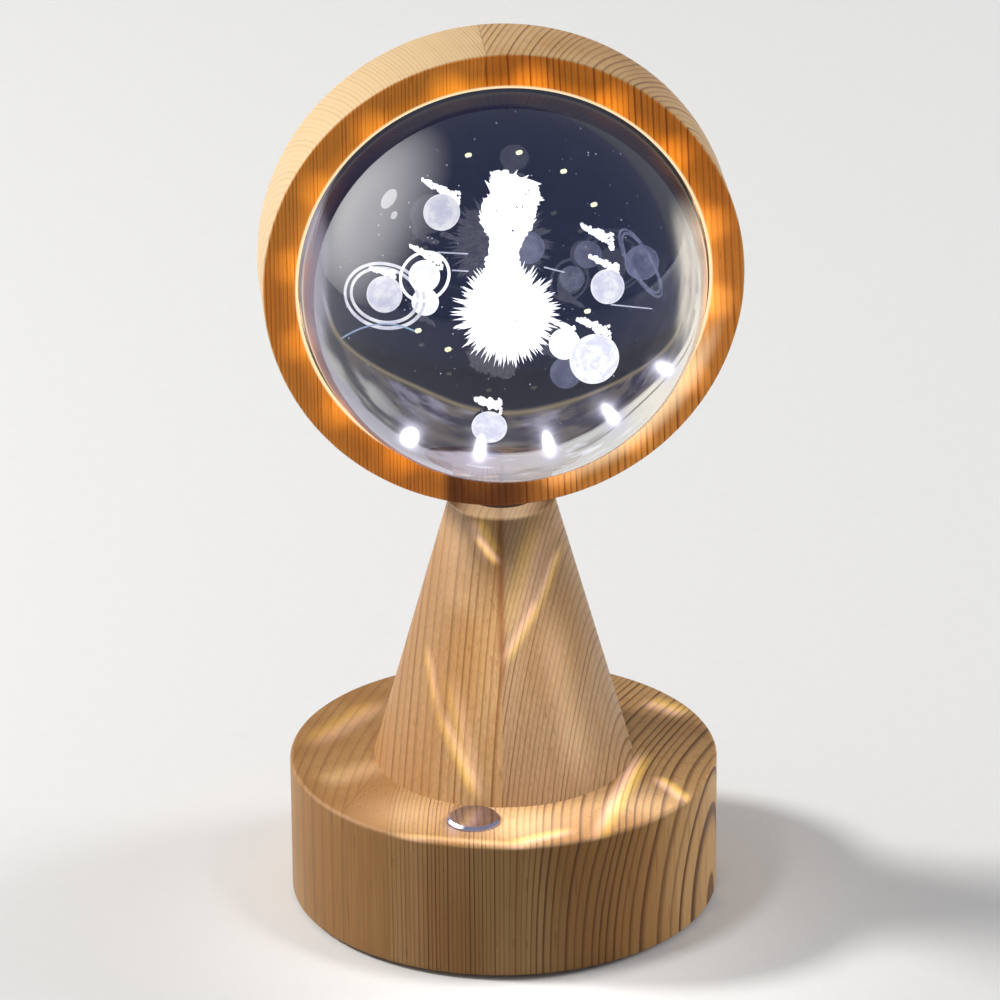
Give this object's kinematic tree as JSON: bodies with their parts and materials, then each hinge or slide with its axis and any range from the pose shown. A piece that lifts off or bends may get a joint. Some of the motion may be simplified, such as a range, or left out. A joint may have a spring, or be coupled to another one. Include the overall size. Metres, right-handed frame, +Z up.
{
  "type": "globe table lamp",
  "caption": "Small night light: a wooden ring holds a lit, engraved crystal ball and swivels on a wooden cone stem over a round wooden base with a metal touch disc.",
  "frame": {"origin": "centre of the foot pad's underside, on the floor, on the stem's axis", "axes": "+Z up along the stem; the touch disc is on the -Y side and the charging port on the +Y side; at rest the head faces 15.9 degrees from -Y towards +X, as pictured"},
  "size_m": [0.0958, 0.0895, 0.1824],
  "materials": {
    "ring_wood": "satin",
    "cone_wood": "satin",
    "base_wood": "satin",
    "dowel_wood": "bare",
    "crystal": "polished",
    "clear_silicone": "satin",
    "strip_white": "matte",
    "led_white": "gloss",
    "plated_steel": "plated",
    "polished_metal": "polished",
    "spring_brass": "satin",
    "nylon": "satin",
    "black_plastic": "fine texture",
    "board_green": "solder mask",
    "chip_black": "matte",
    "cell_foil": "foil",
    "tape_white": "matte",
    "red_lead": "satin",
    "black_lead": "satin",
    "foam_rubber": "matte"
  },
  "bodies": {
    "base": {"stem_tube": "plated_steel", "swivel_washer": "nylon", "stem_washer": "plated_steel", "spring_washer": "plated_steel", "stem_nut": "plated_steel", "cone_stem": "cone_wood", "cone_dowel_1": "dowel_wood", "cone_dowel_2": "dowel_wood", "base_body": "base_wood", "touch_disc": "polished_metal", "touch_washer": "plated_steel", "touch_spring": "spring_brass", "control_board": "board_green", "touch_chip": "chip_black", "charge_chip": "chip_black", "boost_inductor": "chip_black", "board_screw_1": "plated_steel", "board_screw_2": "plated_steel", "usb_socket": "plated_steel", "usb_bezel": "black_plastic", "battery_cell": "cell_foil", "battery_tape": "tape_white", "battery_lead_positive": "red_lead", "battery_lead_negative": "black_lead", "bottom_cover": "black_plastic", "cover_screw_1": "plated_steel", "cover_screw_2": "plated_steel", "cover_screw_3": "plated_steel", "foot_pad": "foam_rubber"},
    "head": {"head_ring": "ring_wood", "crystal_ball": "crystal", "ball_seat": "clear_silicone", "led_strip": "strip_white", "led_01": "led_white", "led_02": "led_white", "led_03": "led_white", "led_04": "led_white", "led_05": "led_white", "led_06": "led_white", "led_07": "led_white", "led_08": "led_white", "led_09": "led_white", "led_10": "led_white", "led_11": "led_white", "led_12": "led_white", "led_13": "led_white", "led_14": "led_white", "led_15": "led_white", "led_16": "led_white", "led_lead_positive": "red_lead", "led_lead_negative": "black_lead"}
  },
  "joints": [
    {"name": "head_swivel", "type": "hinge", "parent": "base", "child": "head", "pos_m": [0, 0, 0.0885], "axis": [0, 0, 1], "range_deg": [-105.9, 74.1]}
  ]
}
